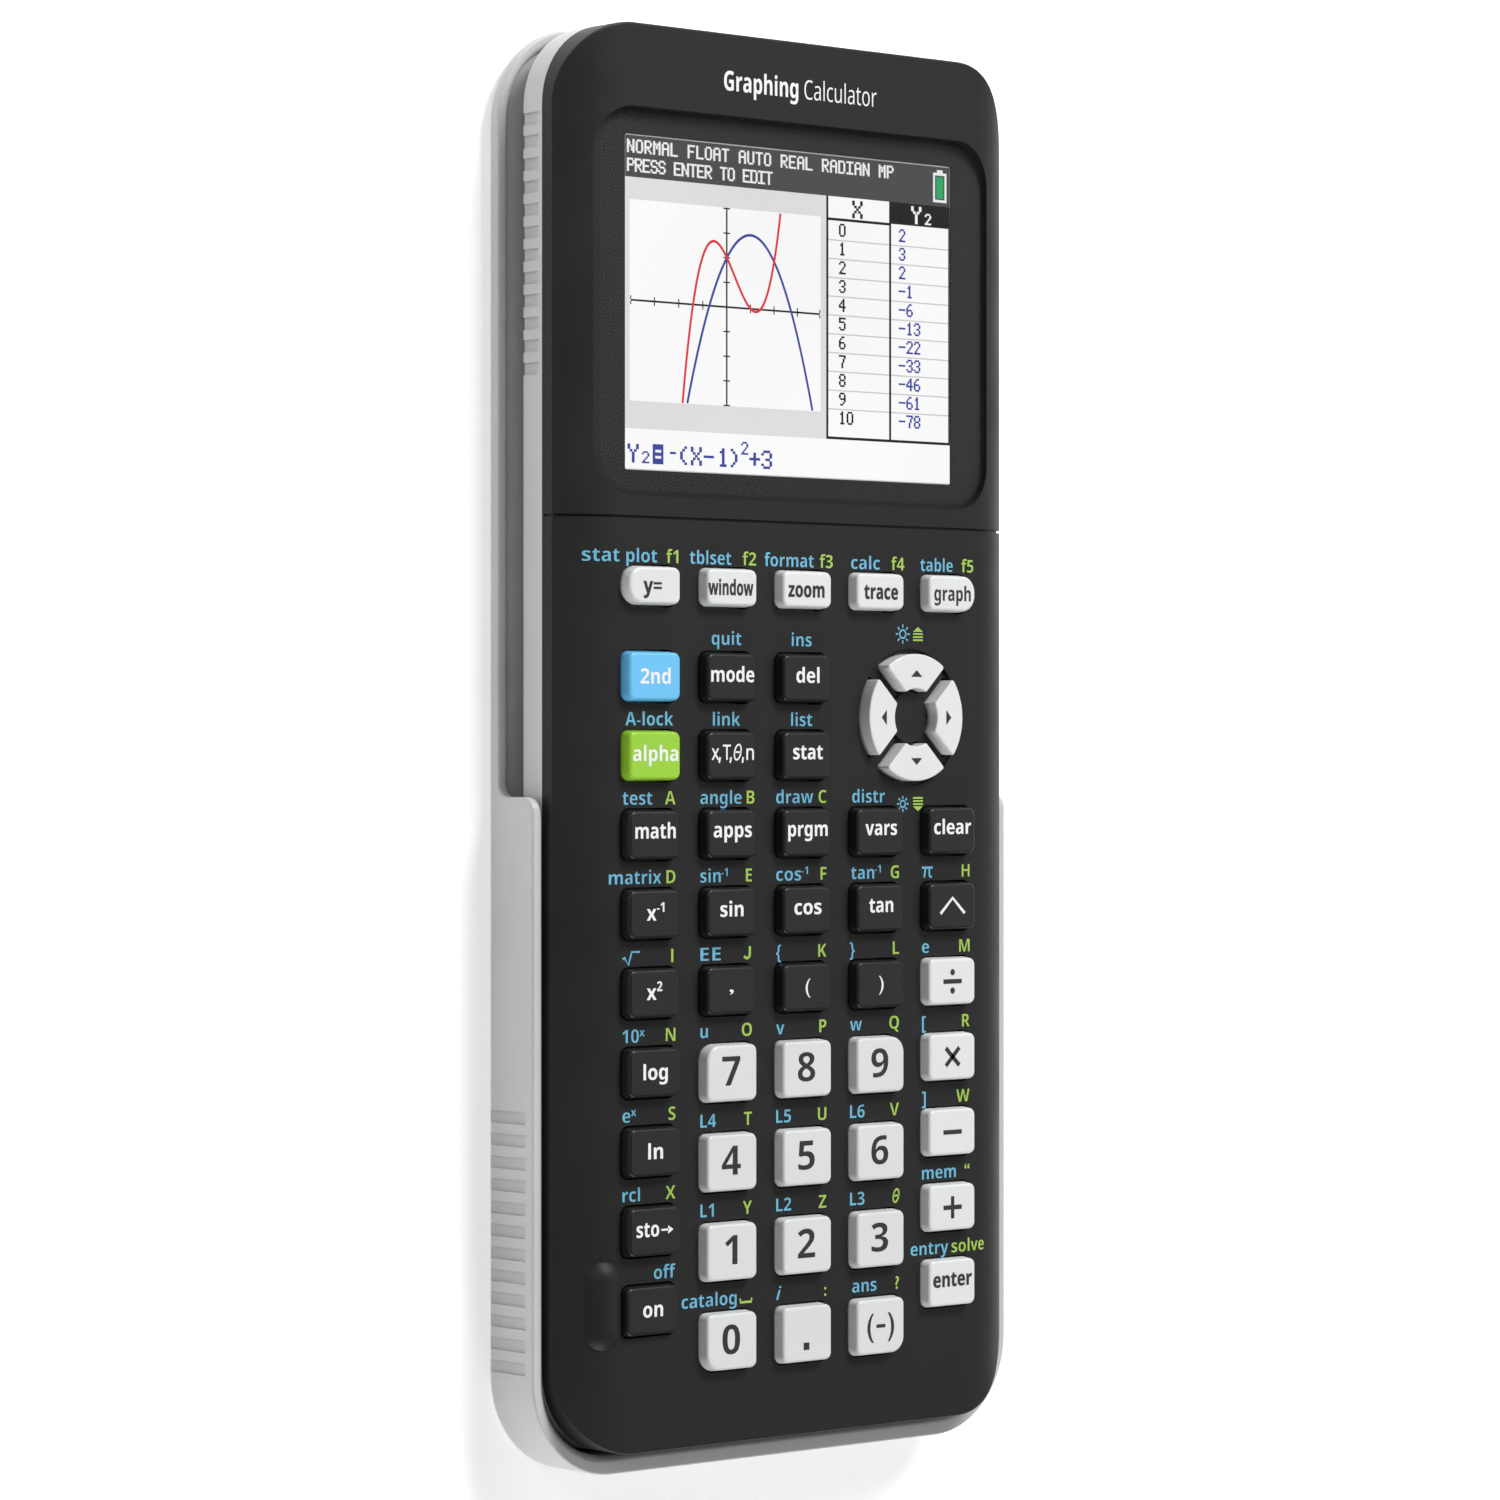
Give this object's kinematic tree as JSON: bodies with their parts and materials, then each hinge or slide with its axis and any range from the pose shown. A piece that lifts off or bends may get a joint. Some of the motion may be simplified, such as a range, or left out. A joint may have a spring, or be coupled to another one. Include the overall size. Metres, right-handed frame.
{
  "type": "graphing calculator",
  "caption": "Handheld graphing calculator: black face with a colour display, arrow ring and sprung keys, in a light grey housing with a slide cover on its back.",
  "frame": {"origin": "on the slide cover's flat back, under the middle of the whole object as seen from the front", "axes": "+X to the right of the keys, +Y towards the display end, +Z out of the face"},
  "size_m": [0.0838, 0.188, 0.0159],
  "materials": {
    "front_housing": "satin moulded black",
    "rear_housing": "fine matt light grey",
    "slide_cover": "fine matt light grey",
    "display_window": "clear hard-coated plate with a dark printed border",
    "display_module": "pressed metal frame with a glass panel",
    "keypad_mat": "translucent grey silicone",
    "circuit_board": "green solder mask",
    "battery_pack": "wrapped cell",
    "battery_cover": "fine matt light grey",
    "housing_screws": "plated",
    "light_key": "satin",
    "arrow_key": "satin",
    "number_key": "satin",
    "dark_key": "satin",
    "blue_key": "satin",
    "green_key": "satin"
  },
  "bodies": {
    "calculator": {"front_housing": "front_housing", "rear_housing": "rear_housing", "display_window": "display_window", "display_module": "display_module", "keypad_mat": "keypad_mat", "circuit_board": "circuit_board", "battery_pack": "battery_pack", "battery_cover": "battery_cover", "housing_screws": "housing_screws"},
    "slide_cover": {"slide_cover": "slide_cover"},
    "key_second": {"key_second": "blue_key"},
    "key_alpha": {"key_alpha": "green_key"},
    "key_y_equals": {"key_y_equals": "light_key"},
    "key_window": {"key_window": "light_key"},
    "key_zoom": {"key_zoom": "light_key"},
    "key_trace": {"key_trace": "light_key"},
    "key_graph": {"key_graph": "light_key"},
    "key_up": {"key_up": "arrow_key"},
    "key_down": {"key_down": "arrow_key"},
    "key_left": {"key_left": "arrow_key"},
    "key_right": {"key_right": "arrow_key"},
    "key_mode": {"key_mode": "dark_key"},
    "key_del": {"key_del": "dark_key"},
    "key_variable": {"key_variable": "dark_key"},
    "key_stat": {"key_stat": "dark_key"},
    "key_math": {"key_math": "dark_key"},
    "key_apps": {"key_apps": "dark_key"},
    "key_prgm": {"key_prgm": "dark_key"},
    "key_vars": {"key_vars": "dark_key"},
    "key_clear": {"key_clear": "dark_key"},
    "key_reciprocal": {"key_reciprocal": "dark_key"},
    "key_sin": {"key_sin": "dark_key"},
    "key_cos": {"key_cos": "dark_key"},
    "key_tan": {"key_tan": "dark_key"},
    "key_power": {"key_power": "dark_key"},
    "key_square": {"key_square": "dark_key"},
    "key_comma": {"key_comma": "dark_key"},
    "key_open_bracket": {"key_open_bracket": "dark_key"},
    "key_close_bracket": {"key_close_bracket": "dark_key"},
    "key_log": {"key_log": "dark_key"},
    "key_ln": {"key_ln": "dark_key"},
    "key_sto": {"key_sto": "dark_key"},
    "key_on": {"key_on": "dark_key"},
    "key_divide": {"key_divide": "light_key"},
    "key_multiply": {"key_multiply": "light_key"},
    "key_minus": {"key_minus": "light_key"},
    "key_plus": {"key_plus": "light_key"},
    "key_enter": {"key_enter": "light_key"},
    "key_7": {"key_7": "number_key"},
    "key_8": {"key_8": "number_key"},
    "key_9": {"key_9": "number_key"},
    "key_4": {"key_4": "number_key"},
    "key_5": {"key_5": "number_key"},
    "key_6": {"key_6": "number_key"},
    "key_1": {"key_1": "number_key"},
    "key_2": {"key_2": "number_key"},
    "key_3": {"key_3": "number_key"},
    "key_0": {"key_0": "number_key"},
    "key_point": {"key_point": "number_key"},
    "key_negative": {"key_negative": "number_key"}
  },
  "joints": [
    {"name": "cover_slide", "type": "slide", "parent": "calculator", "child": "slide_cover", "axis": [0, -1, 0], "range_m": [0, 0.19]},
    {"name": "key_second_press", "type": "slide", "parent": "calculator", "child": "key_second", "axis": [0, 0, -1], "range_m": [0, 0.001], "stiffness_N_per_m": 800, "deforming": ["keypad_mat"]},
    {"name": "key_alpha_press", "type": "slide", "parent": "calculator", "child": "key_alpha", "axis": [0, 0, -1], "range_m": [0, 0.001], "stiffness_N_per_m": 800, "deforming": ["keypad_mat"]},
    {"name": "key_y_equals_press", "type": "slide", "parent": "calculator", "child": "key_y_equals", "axis": [0, 0, -1], "range_m": [0, 0.001], "stiffness_N_per_m": 800, "deforming": ["keypad_mat"]},
    {"name": "key_window_press", "type": "slide", "parent": "calculator", "child": "key_window", "axis": [0, 0, -1], "range_m": [0, 0.001], "stiffness_N_per_m": 800, "deforming": ["keypad_mat"]},
    {"name": "key_zoom_press", "type": "slide", "parent": "calculator", "child": "key_zoom", "axis": [0, 0, -1], "range_m": [0, 0.001], "stiffness_N_per_m": 800, "deforming": ["keypad_mat"]},
    {"name": "key_trace_press", "type": "slide", "parent": "calculator", "child": "key_trace", "axis": [0, 0, -1], "range_m": [0, 0.001], "stiffness_N_per_m": 800, "deforming": ["keypad_mat"]},
    {"name": "key_graph_press", "type": "slide", "parent": "calculator", "child": "key_graph", "axis": [0, 0, -1], "range_m": [0, 0.001], "stiffness_N_per_m": 800, "deforming": ["keypad_mat"]},
    {"name": "key_up_press", "type": "slide", "parent": "calculator", "child": "key_up", "axis": [0, 0, -1], "range_m": [0, 0.001], "stiffness_N_per_m": 800, "deforming": ["keypad_mat"]},
    {"name": "key_down_press", "type": "slide", "parent": "calculator", "child": "key_down", "axis": [0, 0, -1], "range_m": [0, 0.001], "stiffness_N_per_m": 800, "deforming": ["keypad_mat"]},
    {"name": "key_left_press", "type": "slide", "parent": "calculator", "child": "key_left", "axis": [0, 0, -1], "range_m": [0, 0.001], "stiffness_N_per_m": 800, "deforming": ["keypad_mat"]},
    {"name": "key_right_press", "type": "slide", "parent": "calculator", "child": "key_right", "axis": [0, 0, -1], "range_m": [0, 0.001], "stiffness_N_per_m": 800, "deforming": ["keypad_mat"]},
    {"name": "key_mode_press", "type": "slide", "parent": "calculator", "child": "key_mode", "axis": [0, 0, -1], "range_m": [0, 0.001], "stiffness_N_per_m": 800, "deforming": ["keypad_mat"]},
    {"name": "key_del_press", "type": "slide", "parent": "calculator", "child": "key_del", "axis": [0, 0, -1], "range_m": [0, 0.001], "stiffness_N_per_m": 800, "deforming": ["keypad_mat"]},
    {"name": "key_variable_press", "type": "slide", "parent": "calculator", "child": "key_variable", "axis": [0, 0, -1], "range_m": [0, 0.001], "stiffness_N_per_m": 800, "deforming": ["keypad_mat"]},
    {"name": "key_stat_press", "type": "slide", "parent": "calculator", "child": "key_stat", "axis": [0, 0, -1], "range_m": [0, 0.001], "stiffness_N_per_m": 800, "deforming": ["keypad_mat"]},
    {"name": "key_math_press", "type": "slide", "parent": "calculator", "child": "key_math", "axis": [0, 0, -1], "range_m": [0, 0.001], "stiffness_N_per_m": 800, "deforming": ["keypad_mat"]},
    {"name": "key_apps_press", "type": "slide", "parent": "calculator", "child": "key_apps", "axis": [0, 0, -1], "range_m": [0, 0.001], "stiffness_N_per_m": 800, "deforming": ["keypad_mat"]},
    {"name": "key_prgm_press", "type": "slide", "parent": "calculator", "child": "key_prgm", "axis": [0, 0, -1], "range_m": [0, 0.001], "stiffness_N_per_m": 800, "deforming": ["keypad_mat"]},
    {"name": "key_vars_press", "type": "slide", "parent": "calculator", "child": "key_vars", "axis": [0, 0, -1], "range_m": [0, 0.001], "stiffness_N_per_m": 800, "deforming": ["keypad_mat"]},
    {"name": "key_clear_press", "type": "slide", "parent": "calculator", "child": "key_clear", "axis": [0, 0, -1], "range_m": [0, 0.001], "stiffness_N_per_m": 800, "deforming": ["keypad_mat"]},
    {"name": "key_reciprocal_press", "type": "slide", "parent": "calculator", "child": "key_reciprocal", "axis": [0, 0, -1], "range_m": [0, 0.001], "stiffness_N_per_m": 800, "deforming": ["keypad_mat"]},
    {"name": "key_sin_press", "type": "slide", "parent": "calculator", "child": "key_sin", "axis": [0, 0, -1], "range_m": [0, 0.001], "stiffness_N_per_m": 800, "deforming": ["keypad_mat"]},
    {"name": "key_cos_press", "type": "slide", "parent": "calculator", "child": "key_cos", "axis": [0, 0, -1], "range_m": [0, 0.001], "stiffness_N_per_m": 800, "deforming": ["keypad_mat"]},
    {"name": "key_tan_press", "type": "slide", "parent": "calculator", "child": "key_tan", "axis": [0, 0, -1], "range_m": [0, 0.001], "stiffness_N_per_m": 800, "deforming": ["keypad_mat"]},
    {"name": "key_power_press", "type": "slide", "parent": "calculator", "child": "key_power", "axis": [0, 0, -1], "range_m": [0, 0.001], "stiffness_N_per_m": 800, "deforming": ["keypad_mat"]},
    {"name": "key_square_press", "type": "slide", "parent": "calculator", "child": "key_square", "axis": [0, 0, -1], "range_m": [0, 0.001], "stiffness_N_per_m": 800, "deforming": ["keypad_mat"]},
    {"name": "key_comma_press", "type": "slide", "parent": "calculator", "child": "key_comma", "axis": [0, 0, -1], "range_m": [0, 0.001], "stiffness_N_per_m": 800, "deforming": ["keypad_mat"]},
    {"name": "key_open_bracket_press", "type": "slide", "parent": "calculator", "child": "key_open_bracket", "axis": [0, 0, -1], "range_m": [0, 0.001], "stiffness_N_per_m": 800, "deforming": ["keypad_mat"]},
    {"name": "key_close_bracket_press", "type": "slide", "parent": "calculator", "child": "key_close_bracket", "axis": [0, 0, -1], "range_m": [0, 0.001], "stiffness_N_per_m": 800, "deforming": ["keypad_mat"]},
    {"name": "key_log_press", "type": "slide", "parent": "calculator", "child": "key_log", "axis": [0, 0, -1], "range_m": [0, 0.001], "stiffness_N_per_m": 800, "deforming": ["keypad_mat"]},
    {"name": "key_ln_press", "type": "slide", "parent": "calculator", "child": "key_ln", "axis": [0, 0, -1], "range_m": [0, 0.001], "stiffness_N_per_m": 800, "deforming": ["keypad_mat"]},
    {"name": "key_sto_press", "type": "slide", "parent": "calculator", "child": "key_sto", "axis": [0, 0, -1], "range_m": [0, 0.001], "stiffness_N_per_m": 800, "deforming": ["keypad_mat"]},
    {"name": "key_on_press", "type": "slide", "parent": "calculator", "child": "key_on", "axis": [0, 0, -1], "range_m": [0, 0.001], "stiffness_N_per_m": 800, "deforming": ["keypad_mat"]},
    {"name": "key_divide_press", "type": "slide", "parent": "calculator", "child": "key_divide", "axis": [0, 0, -1], "range_m": [0, 0.001], "stiffness_N_per_m": 800, "deforming": ["keypad_mat"]},
    {"name": "key_multiply_press", "type": "slide", "parent": "calculator", "child": "key_multiply", "axis": [0, 0, -1], "range_m": [0, 0.001], "stiffness_N_per_m": 800, "deforming": ["keypad_mat"]},
    {"name": "key_minus_press", "type": "slide", "parent": "calculator", "child": "key_minus", "axis": [0, 0, -1], "range_m": [0, 0.001], "stiffness_N_per_m": 800, "deforming": ["keypad_mat"]},
    {"name": "key_plus_press", "type": "slide", "parent": "calculator", "child": "key_plus", "axis": [0, 0, -1], "range_m": [0, 0.001], "stiffness_N_per_m": 800, "deforming": ["keypad_mat"]},
    {"name": "key_enter_press", "type": "slide", "parent": "calculator", "child": "key_enter", "axis": [0, 0, -1], "range_m": [0, 0.001], "stiffness_N_per_m": 800, "deforming": ["keypad_mat"]},
    {"name": "key_7_press", "type": "slide", "parent": "calculator", "child": "key_7", "axis": [0, 0, -1], "range_m": [0, 0.001], "stiffness_N_per_m": 800, "deforming": ["keypad_mat"]},
    {"name": "key_8_press", "type": "slide", "parent": "calculator", "child": "key_8", "axis": [0, 0, -1], "range_m": [0, 0.001], "stiffness_N_per_m": 800, "deforming": ["keypad_mat"]},
    {"name": "key_9_press", "type": "slide", "parent": "calculator", "child": "key_9", "axis": [0, 0, -1], "range_m": [0, 0.001], "stiffness_N_per_m": 800, "deforming": ["keypad_mat"]},
    {"name": "key_4_press", "type": "slide", "parent": "calculator", "child": "key_4", "axis": [0, 0, -1], "range_m": [0, 0.001], "stiffness_N_per_m": 800, "deforming": ["keypad_mat"]},
    {"name": "key_5_press", "type": "slide", "parent": "calculator", "child": "key_5", "axis": [0, 0, -1], "range_m": [0, 0.001], "stiffness_N_per_m": 800, "deforming": ["keypad_mat"]},
    {"name": "key_6_press", "type": "slide", "parent": "calculator", "child": "key_6", "axis": [0, 0, -1], "range_m": [0, 0.001], "stiffness_N_per_m": 800, "deforming": ["keypad_mat"]},
    {"name": "key_1_press", "type": "slide", "parent": "calculator", "child": "key_1", "axis": [0, 0, -1], "range_m": [0, 0.001], "stiffness_N_per_m": 800, "deforming": ["keypad_mat"]},
    {"name": "key_2_press", "type": "slide", "parent": "calculator", "child": "key_2", "axis": [0, 0, -1], "range_m": [0, 0.001], "stiffness_N_per_m": 800, "deforming": ["keypad_mat"]},
    {"name": "key_3_press", "type": "slide", "parent": "calculator", "child": "key_3", "axis": [0, 0, -1], "range_m": [0, 0.001], "stiffness_N_per_m": 800, "deforming": ["keypad_mat"]},
    {"name": "key_0_press", "type": "slide", "parent": "calculator", "child": "key_0", "axis": [0, 0, -1], "range_m": [0, 0.001], "stiffness_N_per_m": 800, "deforming": ["keypad_mat"]},
    {"name": "key_point_press", "type": "slide", "parent": "calculator", "child": "key_point", "axis": [0, 0, -1], "range_m": [0, 0.001], "stiffness_N_per_m": 800, "deforming": ["keypad_mat"]},
    {"name": "key_negative_press", "type": "slide", "parent": "calculator", "child": "key_negative", "axis": [0, 0, -1], "range_m": [0, 0.001], "stiffness_N_per_m": 800, "deforming": ["keypad_mat"]}
  ]
}
